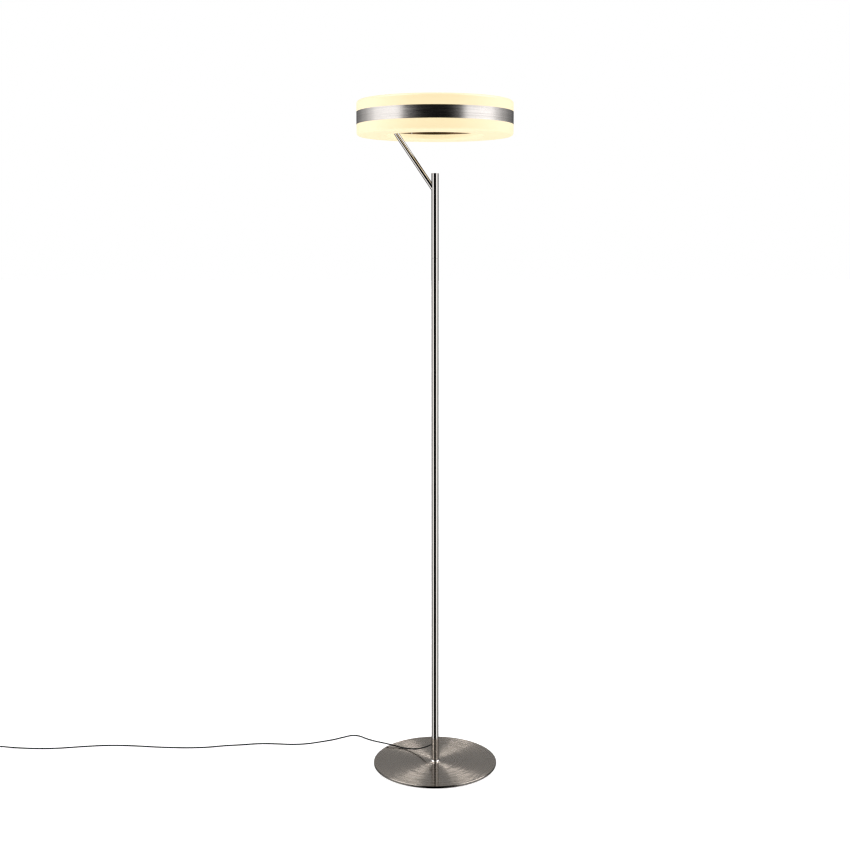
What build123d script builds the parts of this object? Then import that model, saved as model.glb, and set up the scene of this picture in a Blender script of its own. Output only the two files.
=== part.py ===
from build123d import *
import math
import os

# A torchiere floor lamp.  A round steel plate carries a thin pole in three lengths.  Near the pole's
# head a slant arm leaves it and holds a lit ring: two frosted channels round a pair of metal bands.
# The low-voltage cord leaves the back of the pole near the plate, passes a press switch, and ends in
# a plug-in adapter.
# Millimetres.  Origin: centre of the pad's underside, on the floor.  +Z up, -Y front, arm towards -X.

# ------------------------------------------------------------------ driving dimensions
# base
base_diameter = 334
base_thickness = 6
base_edge = 0.8
pad_thickness = 2
pad_inset = 12
pad_hole_diameter = 24
base_screw_diameter = 8
base_screw_head_diameter = 16
base_screw_length = 28
base_screw_socket = 5
foot_insert_length = 30
collar_diameter = 30
collar_height = 4
collar_lip = 0.6
collar_crown = 0.8

# pole
pole_diameter = 19.05
pole_wall = 1.2
pole_edge = 0.25
lower_pole_length = 680
middle_pole_length = 690
upper_pole_length = 220
socket_length = 28
stud_body_length = 22
stud_diameter = 12
stud_length = 20
wireway_diameter = 7
cap_lid = 1
cap_depth = 6

# arm
arm_diameter = 12.7
arm_wall = 1
arm_drop = 47
arm_pad_thickness = 3
arm_pad_width = 22
arm_pad_height = 40
arm_pad_corner = 4
arm_screw_diameter = 4
arm_screw_head_diameter = 7
arm_screw_head_height = 2.2
arm_screw_spacing = 30

# ring
ring_outer_diameter = 408
ring_inner_diameter = 252
ring_rise = 140
ring_height = 90
outer_band_height = 32.5
inner_band_height = 61
band_wall = 1.2
carrier_web = 2
carrier_rim = 2
diffuser_wall = 3
diffuser_reveal = 0.3
diffuser_edge_radius = 8
diffuser_edge_share = 0.75
skirt_depth = 6
skirt_wall = 1.6
board_inset = 12
board_thickness = 1.6
board_gap = 36
led_length = 3.5
led_width = 2.8
led_height = 0.8
leds_per_row = 54
board_screw_diameter = 3
board_screw_head_diameter = 5.6
board_screw_head_height = 1.8
board_screws_per_side = 6
diffuser_screw_diameter = 2.5
diffuser_screw_head_diameter = 4.6
diffuser_screw_head_height = 1.2
diffuser_screws_per_side = 3
terminal_length = 16
terminal_width = 14
terminal_height = 10
feed_wire_diameter = 1.4
feed_wire_lead = 5
feed_wire_tail = 4
feed_wire_bend = 3
feed_wire_web_bend = 2
feed_wire_spread = 2.2
web_hole_diameter = 8

# cord and its outlet
cord_diameter = 3.6
outlet_height = 48.9
outlet_bearing = 32
outlet_dip = 31
relief_start = 6
relief_length = 20
relief_shank_diameter = 6.6
relief_root_diameter = 8.4
relief_tip_diameter = 5.2
grommet_diameter = 6.5
grommet_flange_diameter = 8
grommet_flange = 1
cable_drop = 6.6
cable_corner_inset = 8
cable_end_bend = 9
cable_arm_bend = 24

# press switch
switch_x = -1285
switch_y = 100
switch_length = 66
switch_width = 28
switch_height = 17
switch_split = 10.5
switch_wall = 1.8
switch_corner = 9
switch_edge = 1.6
inlet_height = 6.5
bush_diameter = 6.4
bush_tip_diameter = 5
bush_inside = 3
bush_outside = 12
button_diameter = 16
button_rise = 3
button_travel = 2.5
button_flange = 1.2
button_flange_thickness = 1.5
button_stem_diameter = 5
switch_board_height = 3.3
switch_board_length = 30
switch_board_width = 20
switch_board_thickness = 1.2
contact_size = 6
contact_height = 3
spring_diameter = 10.8
spring_wire = 0.7
spring_turns = 4
switch_screw_spacing = 48
switch_screw_diameter = 2.5
switch_screw_head_diameter = 4.6
switch_screw_head_height = 1.6
switch_screw_length = 11
switch_post_diameter = 7

# put-away coil, and the tie round it
coil_x = -1389
coil_y = 104
coil_turn_diameter = 43
coil_width = 8
coil_height = 7
tie_width = 6
tie_thickness = 0.8
coil_lift = 1

# plug-in adapter
adapter_x = -1322
adapter_y = 172
adapter_length = 72
adapter_width = 44
adapter_height = 30
adapter_split = 16
adapter_wall = 2
adapter_corner = 5
blade_length = 17
blade_width = 6.3
blade_thickness = 1.5
blade_spacing = 12.7
blade_root = 6
blade_hole_diameter = 3.2
blade_hole_height = 12
blade_inset = 20
adapter_board_height = 5
transformer_size = 17
capacitor_diameter = 10
capacitor_length = 16
adapter_relief_length = 18
adapter_relief_inside = 3
adapter_relief_root_diameter = 8

# fits
running_gap = 0.05
slip_gap = 0.15
moving_gap = 0.3

# ------------------------------------------------------------------ places worked out from them
base_radius = base_diameter / 2
base_screw_head_depth = (base_screw_head_diameter - base_screw_diameter) / 2
base_top_z = pad_thickness + base_thickness
pole_radius = pole_diameter / 2
pole_bore_radius = pole_radius - pole_wall
lower_joint_z = base_top_z + lower_pole_length
upper_joint_z = lower_joint_z + middle_pole_length
pole_end_z = upper_joint_z + upper_pole_length
pole_top_z = pole_end_z + cap_lid
arm_root_z = pole_top_z - arm_drop
ring_mid_z = pole_top_z + ring_rise
outer_radius = ring_outer_diameter / 2
inner_radius = ring_inner_diameter / 2
outer_band_bore = outer_radius - band_wall
inner_band_back = inner_radius + band_wall
arm_lean = math.degrees(math.atan2(inner_radius, ring_mid_z - arm_root_z))
outer_rim_half = outer_band_height / 2 - skirt_depth - slip_gap
inner_rim_half = inner_band_height / 2 - skirt_depth - slip_gap
carrier_inner_face = inner_band_back + carrier_rim
carrier_outer_face = outer_band_bore - carrier_rim
board_inner_radius = carrier_inner_face + board_inset
board_outer_radius = carrier_outer_face - board_inset
board_screw_radius = (board_inner_radius + board_outer_radius) / 2
board_screw_start = 180 / board_screws_per_side
cable_z = ring_mid_z - cable_drop
relief_end = relief_start + relief_length
board_top = carrier_web / 2 + board_thickness

pole_axis = Axis((0, 0, 0), (0, 0, 1))
ring_plane = Plane.XY.offset(ring_mid_z)
ring_section = Plane(origin=(0, 0, ring_mid_z), x_dir=(1, 0, 0), z_dir=(0, -1, 0))
arm_direction = Vector(-inner_radius, 0, ring_mid_z - arm_root_z).normalized()
arm_plane = Plane(origin=(0, 0, arm_root_z), x_dir=(0, 1, 0), z_dir=arm_direction)

bearing = math.radians(outlet_bearing)
dip = math.radians(outlet_dip)
outlet_direction = Vector(
    -math.sin(bearing) * math.cos(dip), math.cos(bearing) * math.cos(dip), -math.sin(dip)
)
outlet_root = Vector(0, 0, base_top_z + outlet_height)
outlet_plane = Plane(origin=outlet_root, z_dir=outlet_direction)

pieces = {}


def tube(path_points, diameter):
    """A round cord along straight runs joined by arcs.

    Each arc's radius is 0.45 of its shorter run, divided by the tangent of half the turn.
    """
    points = [Vector(*point) for point in path_points]
    radii = []
    for before, corner, after in zip(points, points[1:], points[2:]):
        arriving = corner - before
        leaving = after - corner
        half_turn = math.radians(arriving.get_angle(leaving)) / 2
        radii.append(0.45 * min(arriving.length, leaving.length) / math.tan(half_turn))
    print("corner radii", [round(radius, 1) for radius in radii])
    with BuildPart() as cord_tube:
        with BuildLine() as route:
            FilletPolyline(*points, radius=radii)
        with BuildSketch(Plane(origin=points[0], z_dir=points[1] - points[0])):
            Circle(diameter / 2)
        sweep()
    length = route.wires()[0].length
    volume_share = cord_tube.part.volume / (math.pi * diameter**2 / 4 * length)
    print("tube length", round(length, 1), "volume against section times length", round(volume_share, 4))
    return cord_tube


# ------------------------------------------------------------------ base plate
# A solid round of steel plate, turned flat, with a countersunk hole for the screw from below.
with BuildPart() as base_plate:
    with BuildSketch(Plane.XY.offset(pad_thickness)):
        Circle(base_radius)
    extrude(amount=base_thickness)
    chamfer(base_plate.edges().filter_by(GeomType.CIRCLE), base_edge)
    with Locations(Plane.XY.offset(pad_thickness).rotated((180, 0, 0))):
        CounterSinkHole(
            base_screw_diameter / 2 + slip_gap,
            base_screw_head_diameter / 2 + slip_gap,
            depth=base_thickness,
            counter_sink_angle=90,
        )
pieces["base_plate"] = base_plate

# The felt-faced rubber disc glued under the plate, open in the middle for the screw.
with BuildPart() as base_pad:
    with BuildSketch():
        Circle(base_radius - pad_inset)
        Circle(pad_hole_diameter / 2, mode=Mode.SUBTRACT)
    extrude(amount=pad_thickness)
pieces["base_pad"] = base_pad

# The countersunk screw with a hexagon socket.  Its thread is a plain shank.
screw_head_z = pad_thickness + slip_gap
with BuildPart() as base_screw:
    with BuildSketch(Plane.XY.offset(screw_head_z)):
        Circle(base_screw_head_diameter / 2)
    with BuildSketch(Plane.XY.offset(screw_head_z + base_screw_head_depth)):
        Circle(base_screw_diameter / 2)
    loft()
    with BuildSketch(Plane.XY.offset(screw_head_z + base_screw_head_depth)):
        Circle(base_screw_diameter / 2)
    extrude(amount=base_screw_length - base_screw_head_depth)
    with BuildSketch(Plane.XY.offset(screw_head_z)):
        RegularPolygon(base_screw_socket / 2, 6, major_radius=False)
    extrude(amount=base_screw_head_depth * 0.7, mode=Mode.SUBTRACT)
pieces["base_screw"] = base_screw

# The turned plug welded in the pole's foot, which the base screw is driven into.
with BuildPart() as foot_insert:
    with BuildSketch(Plane.XY.offset(base_top_z)):
        Circle(pole_bore_radius)
        Circle(base_screw_diameter / 2 + running_gap, mode=Mode.SUBTRACT)
    extrude(amount=foot_insert_length)
    chamfer(foot_insert.edges().group_by(Axis.Z)[-1].sort_by(SortBy.LENGTH)[-1], pole_wall / 2)
pieces["foot_insert"] = foot_insert

# The low flared collar that hides the seam between pole and plate.
with BuildPart() as foot_collar:
    with BuildSketch(Plane(origin=(0, 0, base_top_z), x_dir=(1, 0, 0), z_dir=(0, -1, 0))):
        collar_bore = pole_radius + running_gap
        with BuildLine():
            rim_point = (collar_diameter / 2, collar_lip)
            crown_point = (collar_bore + collar_crown, collar_height)
            Polyline((collar_bore, 0), (collar_diameter / 2, 0), rim_point)
            TangentArc(rim_point, crown_point, tangent=(-1, 0))
            Polyline(crown_point, (collar_bore, collar_height), (collar_bore, 0))
        make_face()
    revolve(axis=pole_axis)
pieces["foot_collar"] = foot_collar

# ------------------------------------------------------------------ pole
# Three lengths of the same drawn steel tube, each end broken by a small chamfer.


def pole_tube(start_z, length):
    """One length of the pole, standing on start_z."""
    with BuildPart() as pole:
        with BuildSketch(Plane.XY.offset(start_z)):
            Circle(pole_radius)
            Circle(pole_bore_radius, mode=Mode.SUBTRACT)
        extrude(amount=length)
        rims = pole.edges().filter_by(GeomType.CIRCLE)
        chamfer(rims.filter_by(lambda edge: edge.radius > pole_bore_radius + pole_edge), pole_edge)
    return pole


# The lower length also has the slanting hole that the cord leaves by.
with BuildPart() as pole_lower:
    add(pole_tube(base_top_z, lower_pole_length).part)
    with BuildSketch(outlet_plane):
        Circle(relief_shank_diameter / 2 + running_gap)
    extrude(amount=pole_diameter, mode=Mode.SUBTRACT)
pieces["pole_lower"] = pole_lower

pieces["pole_middle"] = pole_tube(lower_joint_z, middle_pole_length)

# The upper length has the slant hole where the arm's bore joins the pole's.
with BuildPart() as pole_upper:
    add(pole_tube(upper_joint_z, upper_pole_length).part)
    with BuildSketch(arm_plane):
        Circle(arm_diameter / 2 - arm_wall)
    extrude(amount=arm_drop, mode=Mode.SUBTRACT)
pieces["pole_upper"] = pole_upper


def joint_socket(joint_z):
    """The plug in the top of the length below a joint, bored for the stud."""
    with BuildPart() as socket:
        with BuildSketch(Plane.XY.offset(joint_z - socket_length)):
            Circle(pole_bore_radius)
            Circle(stud_diameter / 2 + running_gap, mode=Mode.SUBTRACT)
        extrude(amount=socket_length)
        chamfer(socket.edges().group_by(Axis.Z)[0].sort_by(SortBy.LENGTH)[-1], pole_wall / 2)
    return socket


def joint_stud(joint_z):
    """The plug in the foot of the length above a joint, with a hollow stud that screws down."""
    with BuildPart() as stud:
        with BuildSketch(Plane.XY.offset(joint_z)):
            Circle(pole_bore_radius)
        extrude(amount=stud_body_length)
        with BuildSketch(Plane.XY.offset(joint_z)):
            Circle(stud_diameter / 2)
        extrude(amount=-stud_length)
        chamfer(stud.edges().group_by(Axis.Z)[0], pole_wall / 2)
        with BuildSketch(Plane.XY.offset(joint_z - stud_length)):
            Circle(wireway_diameter / 2)
        extrude(amount=stud_length + stud_body_length, mode=Mode.SUBTRACT)
    return stud


pieces["lower_socket"] = joint_socket(lower_joint_z)
pieces["lower_stud"] = joint_stud(lower_joint_z)
pieces["upper_socket"] = joint_socket(upper_joint_z)
pieces["upper_stud"] = joint_stud(upper_joint_z)

# The turned cap pressed into the pole's top, its lid flush with the tube.
with BuildPart() as pole_cap:
    with BuildSketch(Plane.XY.offset(pole_end_z)):
        Circle(pole_radius)
    extrude(amount=cap_lid)
    chamfer(pole_cap.edges().group_by(Axis.Z)[-1], pole_edge)
    with BuildSketch(Plane.XY.offset(pole_end_z)):
        Circle(pole_bore_radius)
    extrude(amount=-cap_depth)
pieces["pole_cap"] = pole_cap

# ------------------------------------------------------------------ arm
# A thinner tube, coped to the pole at its foot and mitred against the pad at its head.
arm_reach = math.hypot(inner_radius, ring_mid_z - arm_root_z) + arm_diameter
pad_face_radius = inner_radius - arm_pad_thickness
with BuildPart() as arm_tube:
    with BuildSketch(arm_plane):
        Circle(arm_diameter / 2)
        Circle(arm_diameter / 2 - arm_wall, mode=Mode.SUBTRACT)
    extrude(amount=arm_reach)
    with BuildSketch(Plane.XY.offset(arm_root_z - pole_diameter)):
        Circle(pole_radius)
    extrude(amount=pole_diameter * 3, mode=Mode.SUBTRACT)
    with BuildSketch(Plane.XY.offset(arm_root_z)):
        Circle(outer_radius)
        Circle(pad_face_radius, mode=Mode.SUBTRACT)
    extrude(amount=ring_rise + arm_drop + ring_height, mode=Mode.SUBTRACT)
pieces["arm_tube"] = arm_tube


def cut_through_wall(height, diameter):
    """Cut a round hole along X through the ring's inner wall, where the arm meets it."""
    with Locations((-inner_radius, 0, height)):
        Cylinder(diameter / 2, 4 * arm_pad_thickness, rotation=(0, 90, 0), mode=Mode.SUBTRACT)


def cut_arm_fixings():
    """Cut the cable hole and the two screw holes of the arm's pad."""
    cut_through_wall(cable_z, grommet_diameter + 2 * running_gap)
    for side in (-1, 1):
        cut_through_wall(ring_mid_z + side * arm_screw_spacing / 2, arm_screw_diameter + 2 * running_gap)


# The curved pad welded to the arm's head, which seats on the inner band and takes two screws.
with BuildPart() as arm_pad:
    with BuildSketch(ring_plane.offset(-arm_pad_height / 2)):
        Circle(inner_radius)
        Circle(pad_face_radius, mode=Mode.SUBTRACT)
        with Locations((-inner_radius, 0)):
            Rectangle(inner_radius, arm_pad_width, mode=Mode.INTERSECT)
    extrude(amount=arm_pad_height)
    fillet(arm_pad.edges().filter_by(lambda edge: abs((edge % 0.5).X) > 0.99), arm_pad_corner)
    cut_arm_fixings()
pieces["arm_pad"] = arm_pad

# The two pan-head screws that hold the pad, driven from inside the ring.
arm_screw_seat = carrier_inner_face
with BuildPart() as arm_screws:
    for side in (-1, 1):
        with Locations((-arm_screw_seat, 0, ring_mid_z + side * arm_screw_spacing / 2)):
            Cylinder(
                arm_screw_head_diameter / 2,
                arm_screw_head_height,
                rotation=(0, -90, 0),
                align=(Align.CENTER, Align.CENTER, Align.MIN),
            )
            Cylinder(
                arm_screw_diameter / 2,
                arm_screw_seat - pad_face_radius - slip_gap,
                rotation=(0, 90, 0),
                align=(Align.CENTER, Align.CENTER, Align.MIN),
            )
    fillet(arm_screws.edges().filter_by(GeomType.CIRCLE).group_by(Axis.X)[0], arm_screw_head_height / 4)
pieces["arm_screws"] = arm_screws

# The rubber grommet that lines the cable's way through pad, band and carrier.
with BuildPart() as arm_grommet:
    with Locations((-carrier_inner_face, 0, cable_z)):
        Cylinder(
            grommet_diameter / 2,
            carrier_inner_face - pad_face_radius,
            rotation=(0, 90, 0),
            align=(Align.CENTER, Align.CENTER, Align.MIN),
        )
        Cylinder(
            grommet_flange_diameter / 2,
            grommet_flange,
            rotation=(0, -90, 0),
            align=(Align.CENTER, Align.CENTER, Align.MIN),
        )
    cut_through_wall(cable_z, cord_diameter + 2 * running_gap)
pieces["arm_grommet"] = arm_grommet

# ------------------------------------------------------------------ ring


def diffuser_screw_spots(side):
    """Where one diffuser's screws pass through the inner band, clear of the arm."""
    return [
        Plane.XY.offset(ring_mid_z + side * (inner_band_height / 2 - skirt_depth / 2)).rotated(
            (0, 0, (step + 0.5) * 360 / diffuser_screws_per_side)
        )
        for step in range(diffuser_screws_per_side)
    ]


def cut_diffuser_screw_holes(side, diameter):
    """Cut the radial holes of one diffuser's screws."""
    with Locations(*diffuser_screw_spots(side)):
        with Locations((-inner_radius, 0, 0)):
            Cylinder(diameter / 2, 4 * band_wall + 2 * skirt_wall, rotation=(0, 90, 0), mode=Mode.SUBTRACT)


# The outer band: a rolled strip of brushed steel.
with BuildPart() as outer_band:
    with BuildSketch(ring_plane.offset(-outer_band_height / 2)):
        Circle(outer_radius)
        Circle(outer_band_bore, mode=Mode.SUBTRACT)
    extrude(amount=outer_band_height)
pieces["outer_band"] = outer_band

# The inner band: a taller strip, with the arm's fixings and the diffusers' screw holes.
with BuildPart() as inner_band:
    with BuildSketch(ring_plane.offset(-inner_band_height / 2)):
        Circle(inner_band_back)
        Circle(inner_radius, mode=Mode.SUBTRACT)
    extrude(amount=inner_band_height)
    cut_arm_fixings()
    for side in (-1, 1):
        cut_diffuser_screw_holes(side, diffuser_screw_diameter + 2 * running_gap)
pieces["inner_band"] = inner_band

# The aluminium carrier: a web between the bands with a rim against each, heat sink for the boards.
with BuildPart() as carrier:
    with BuildSketch(ring_section):
        with Locations(((inner_band_back + outer_band_bore) / 2, 0)):
            Rectangle(outer_band_bore - inner_band_back, carrier_web)
        with Locations((inner_band_back + carrier_rim / 2, 0)):
            Rectangle(carrier_rim, 2 * inner_rim_half)
        with Locations((outer_band_bore - carrier_rim / 2, 0)):
            Rectangle(carrier_rim, 2 * outer_rim_half)
    revolve(axis=pole_axis)
    cut_arm_fixings()
    with Locations((-board_screw_radius, 0, ring_mid_z)):
        Cylinder(web_hole_diameter / 2, 4 * carrier_web, mode=Mode.SUBTRACT)
    with Locations(ring_plane):
        with PolarLocations(board_screw_radius, board_screws_per_side, start_angle=board_screw_start):
            Cylinder(board_screw_diameter / 2 + running_gap, 4 * carrier_web, mode=Mode.SUBTRACT)
pieces["carrier"] = carrier

# A diffuser is a frosted acrylic channel.  Its walls stand on the bands' edges and thinner skirts
# reach inside them.
diffuser_outer = outer_radius - diffuser_reveal
diffuser_inner = inner_radius + diffuser_reveal
with BuildPart() as upper_diffuser:
    with BuildSketch(ring_section) as channel:
        crown_z = ring_height / 2
        outer_wall_height = crown_z - outer_band_height / 2
        inner_wall_height = crown_z - inner_band_height / 2
        edge_radius = min(diffuser_edge_radius, diffuser_edge_share * inner_wall_height)
        with Locations((diffuser_outer, crown_z)):
            Rectangle(diffuser_wall, outer_wall_height, align=(Align.MAX, Align.MAX))
        with Locations((diffuser_inner, crown_z)):
            Rectangle(diffuser_wall, inner_wall_height, align=(Align.MIN, Align.MAX))
            Rectangle(diffuser_outer - diffuser_inner, diffuser_wall, align=(Align.MIN, Align.MAX))
        fillet(channel.vertices().group_by(Axis.Y)[-1], edge_radius)
        corners = channel.vertices().filter_by_position(
            Axis.Y, crown_z - diffuser_wall - slip_gap, crown_z - diffuser_wall + slip_gap
        )
        fillet(corners, edge_radius - diffuser_wall)
        with Locations((outer_band_bore - slip_gap, outer_band_height / 2)):
            Rectangle(skirt_wall, 2 * skirt_depth, align=(Align.MAX, Align.CENTER))
        with Locations((inner_band_back + slip_gap, inner_band_height / 2)):
            Rectangle(skirt_wall, 2 * skirt_depth, align=(Align.MIN, Align.CENTER))
    revolve(axis=pole_axis)
    cut_diffuser_screw_holes(1, diffuser_screw_diameter + 2 * running_gap)
pieces["upper_diffuser"] = upper_diffuser

with BuildPart() as lower_diffuser:
    mirror(upper_diffuser.part, about=ring_plane)
pieces["lower_diffuser"] = lower_diffuser

# The small countersunk screws that pin each diffuser's skirt, driven from the ring's hole.
with BuildPart() as diffuser_screws:
    for side in (-1, 1):
        with Locations(*diffuser_screw_spots(side)):
            with Locations((-inner_radius + slip_gap, 0, 0)):
                Cylinder(
                    diffuser_screw_head_diameter / 2,
                    diffuser_screw_head_height,
                    rotation=(0, 90, 0),
                    align=(Align.CENTER, Align.CENTER, Align.MIN),
                )
                Cylinder(
                    diffuser_screw_diameter / 2,
                    band_wall + skirt_wall + 3 * slip_gap,
                    rotation=(0, -90, 0),
                    align=(Align.CENTER, Align.CENTER, Align.MIN),
                )
    outer_faces = diffuser_screws.edges().filter_by(GeomType.CIRCLE).filter_by(
        lambda edge: math.hypot(edge.center().X, edge.center().Y) < inner_radius - diffuser_screw_head_height
    )
    fillet(outer_faces, diffuser_screw_head_height / 2)
pieces["diffuser_screws"] = diffuser_screws

# The two boards are open rings, with a gap over the arm for the terminal block and its wires.
# They are held to the web by pan-head screws at even steps, starting clear of the gap.
led_rows = (
    board_inner_radius + (board_outer_radius - board_inner_radius) / 4,
    board_outer_radius - (board_outer_radius - board_inner_radius) / 4,
)


def led_board(side):
    """The board on one side of the web: 1 above it, -1 below."""
    with BuildPart() as board:
        with BuildSketch(ring_plane.offset(side * carrier_web / 2)):
            Circle(board_outer_radius)
            Circle(board_inner_radius, mode=Mode.SUBTRACT)
            with Locations((-board_outer_radius, 0)):
                Rectangle(board_outer_radius, board_gap, mode=Mode.SUBTRACT)
        extrude(amount=side * board_thickness)
        with Locations(ring_plane):
            with PolarLocations(board_screw_radius, board_screws_per_side, start_angle=board_screw_start):
                Cylinder(board_screw_diameter / 2 + slip_gap, 4 * board_top, mode=Mode.SUBTRACT)
    return board


def led_group(side):
    """The light-emitting diodes of one board, in two rows, leaving out those over the gap."""
    step = 360 / leds_per_row
    led_plane = ring_plane.offset(side * (board_top + led_height / 2))
    with BuildPart() as leds:
        for radius in led_rows:
            for index in range(leds_per_row):
                angle = (index + 0.5) * step
                off_gap = radius * math.sin(math.radians(abs(180 - angle))) > board_gap / 2 + led_length
                if off_gap or abs(180 - angle) > 90:
                    with Locations(led_plane.rotated((0, 0, angle))):
                        with Locations((radius, 0, 0)):
                            Box(led_width, led_length, led_height)
    return leds


pieces["upper_led_board"] = led_board(1)
pieces["lower_led_board"] = led_board(-1)
pieces["upper_leds"] = led_group(1)
pieces["lower_leds"] = led_group(-1)

with BuildPart() as board_screws:
    with Locations(ring_plane):
        with PolarLocations(board_screw_radius, board_screws_per_side, start_angle=board_screw_start):
            Cylinder(board_screw_diameter / 2, 2 * board_top)
        for side in (-1, 1):
            head_z = side * (board_top + board_screw_head_height / 2)
            with Locations((0, 0, head_z)):
                with PolarLocations(board_screw_radius, board_screws_per_side, start_angle=board_screw_start):
                    Cylinder(board_screw_head_diameter / 2, board_screw_head_height)
pieces["board_screws"] = board_screws

# The terminal block under the web, where the cable's two cores meet the boards' feed wires.
terminal_near_x = -(carrier_inner_face + board_inset)
terminal_mid_x = terminal_near_x - terminal_length / 2
terminal_mid_z = ring_mid_z - carrier_web / 2 - terminal_height / 2
with BuildPart() as terminal_block:
    with Locations((terminal_mid_x, 0, terminal_mid_z)):
        Box(terminal_length, terminal_width, terminal_height)
    chamfer(terminal_block.edges().group_by(Axis.Z)[0], 1)
    with BuildSketch(Plane(origin=(terminal_near_x, 0, cable_z), z_dir=(-1, 0, 0))):
        Circle(cord_diameter / 2 + running_gap)
    extrude(amount=terminal_length / 4 + slip_gap, mode=Mode.SUBTRACT)
pieces["terminal_block"] = terminal_block

# Four short wires go from the block's sides to the ends of the boards, two of them up through the web.
wire_radius = feed_wire_diameter / 2
wire_end_y = board_gap / 2 + 2 * feed_wire_diameter
with BuildPart() as feed_wires:
    for side in (-1, 1):
        start_y = side * (terminal_width / 2 + running_gap)
        low_z = ring_mid_z - board_top - feed_wire_diameter
        high_z = ring_mid_z + board_top + feed_wire_diameter
        low_x = terminal_mid_x - terminal_length / 4
        with BuildLine() as low_wire:
            FilletPolyline(
                (low_x, start_y, terminal_mid_z),
                (low_x, start_y + side * feed_wire_lead, terminal_mid_z),
                (low_x, side * wire_end_y, low_z),
                (low_x, side * (wire_end_y + feed_wire_tail), low_z),
                radius=feed_wire_bend,
            )
        with BuildSketch(Plane(origin=(low_x, start_y, terminal_mid_z), z_dir=(0, side, 0))):
            Circle(wire_radius)
        sweep(path=low_wire.wires()[0])
        web_y = side * feed_wire_spread
        back_x = terminal_near_x - terminal_length - running_gap
        hole_x = -board_screw_radius
        with BuildLine() as high_wire:
            FilletPolyline(
                (back_x, web_y, terminal_mid_z),
                (hole_x, web_y, terminal_mid_z),
                (hole_x, web_y, high_z),
                (hole_x, side * wire_end_y, high_z),
                radius=feed_wire_web_bend,
            )
        with BuildSketch(Plane(origin=(back_x, web_y, terminal_mid_z), z_dir=(-1, 0, 0))):
            Circle(wire_radius)
        sweep(path=high_wire.wires()[0])
pieces["feed_wires"] = feed_wires

# ------------------------------------------------------------------ cord outlet
# A moulded relief in the slanting hole: a shank through the wall and a taper that seats on the pole.
with BuildPart() as cord_relief:
    with BuildSketch(outlet_plane.offset(pole_bore_radius)):
        Circle(relief_root_diameter / 2)
    with BuildSketch(outlet_plane.offset(relief_end)):
        Circle(relief_tip_diameter / 2)
    loft()
    with BuildSketch(Plane.XY):
        Circle(pole_radius)
    extrude(amount=base_top_z + 2 * outlet_height, mode=Mode.SUBTRACT)
    with BuildSketch(outlet_plane.offset(relief_start)):
        Circle(relief_shank_diameter / 2)
    extrude(amount=relief_length / 2)
    with BuildSketch(outlet_plane.offset(relief_start)):
        Circle(cord_diameter / 2 + running_gap)
    extrude(amount=relief_length, mode=Mode.SUBTRACT)
pieces["cord_relief"] = cord_relief

# The same cord runs on inside: up the pole, along the arm and through the grommet to the block.
cord_start = outlet_root + outlet_direction * relief_start
arm_corner_x = -(inner_radius - cable_corner_inset)
inner_route = [
    cord_start,
    outlet_root,
    (0, 0, arm_root_z),
    (arm_corner_x, 0, cable_z),
    (terminal_near_x - terminal_length / 4, 0, cable_z),
]
inner_points = [Vector(*point) for point in inner_route]
with BuildPart() as inner_cable:
    with BuildLine() as inner_path:
        FilletPolyline(*inner_points, radius=[cable_end_bend, cable_arm_bend, cable_end_bend])
    with BuildSketch(Plane(origin=cord_start, z_dir=outlet_direction * -1)):
        Circle(cord_diameter / 2)
    sweep()
pieces["inner_cable"] = inner_cable

# ------------------------------------------------------------------ cord across the plate and floor
# The points are the cord's own lie: over the plate, down past its edge, a loose bend, then away.
floor_z = cord_diameter / 2 + 0.2
switch_near_x = switch_x + switch_length / 2
switch_far_x = switch_x - switch_length / 2
cord_points = [
    cord_start,
    outlet_root + outlet_direction * (relief_end + 2.5),
    (-32, 45, 25),
    (-53, 57, 16.2),
    (-78.5, 74, 10.2),
    (-105, 89, 10.3),
    (-131.5, 98.5, 14.6),
    (-155, 118.5, 8.4),
    (-177, 143, 2.3),
    (-199, 167, floor_z),
    (-218.5, 187, floor_z),
    (-239.5, 191.5, floor_z),
    (-263, 178.5, floor_z),
    (-291.5, 161, floor_z),
    (-324, 143.5, floor_z),
    (-362.5, 128, floor_z),
    (-406, 122.5, floor_z),
    (-452.5, 129, floor_z),
    (-500.5, 130.5, floor_z),
    (-547, 121, floor_z),
    (-594.5, 115.5, floor_z),
    (-641.5, 103.5, floor_z),
    (-691, 99.5, floor_z),
    (-743, 101.5, floor_z),
    (-794.5, 106, floor_z),
    (-846, 113.5, floor_z),
    (-899, 118, floor_z),
    (-951, 115.5, floor_z),
    (-1003, 107.5, floor_z),
    (-1054, 97.5, floor_z),
    (-1103, 93.5, floor_z),
    (-1149.5, 96.5, floor_z),
    (-1189, 100.8, 2.2),
    (-1217.5, 100.4, 5.2),
    (switch_near_x + bush_outside - 1.5, switch_y, inlet_height),
    (switch_near_x - bush_inside, switch_y, inlet_height),
]
pieces["cord"] = tube(cord_points, cord_diameter)

# ------------------------------------------------------------------ press switch
# A low case in two shells on the cord.  A sprung button presses the contact on a small board.
switch_plane = Plane(origin=(switch_x, switch_y, 0))


def switch_outline(inset):
    """The case's rounded outline, set in by a given amount."""
    RectangleRounded(switch_length - 2 * inset, switch_width - 2 * inset, switch_corner - inset)


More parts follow.
